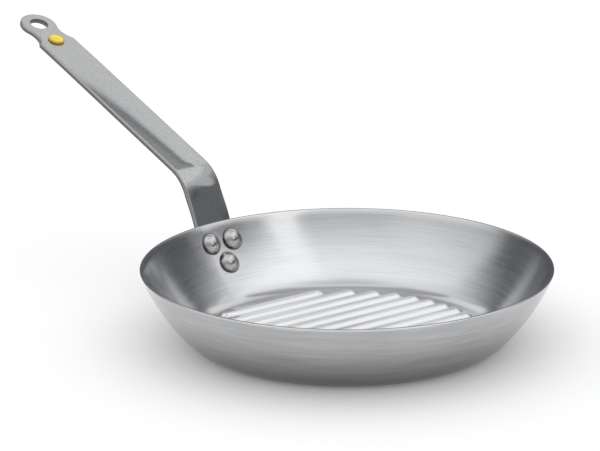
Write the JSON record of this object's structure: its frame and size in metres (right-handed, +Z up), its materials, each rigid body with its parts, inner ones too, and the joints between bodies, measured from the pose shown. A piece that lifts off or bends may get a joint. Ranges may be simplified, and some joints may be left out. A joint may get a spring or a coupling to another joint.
{
  "type": "grill pan",
  "caption": "Round flared steel grill pan with parallel raised ribs in its base and a long flat riveted strip handle that ends in a round eyelet for hanging.",
  "frame": {"origin": "on the pan's axis, at the underside of the base, which rests on the hob", "axes": "+Z up along the pan's axis, +X from the pan's axis along the handle, +Y to the left of someone who looks along +X"},
  "size_m": [0.4586, 0.2592, 0.1575],
  "materials": {
    "pan_steel": "circular brushed, bright rolled lip",
    "handle_steel": "fine satin",
    "rivet_steel": "polished domed heads",
    "button_yellow": "glossy domed disc with a darker rim"
  },
  "bodies": {
    "root": {"pan_body": "pan_steel", "handle": "handle_steel", "rivet_upper_left": "rivet_steel", "rivet_upper_right": "rivet_steel", "rivet_lower": "rivet_steel", "badge_button": "button_yellow"}
  },
  "joints": []
}
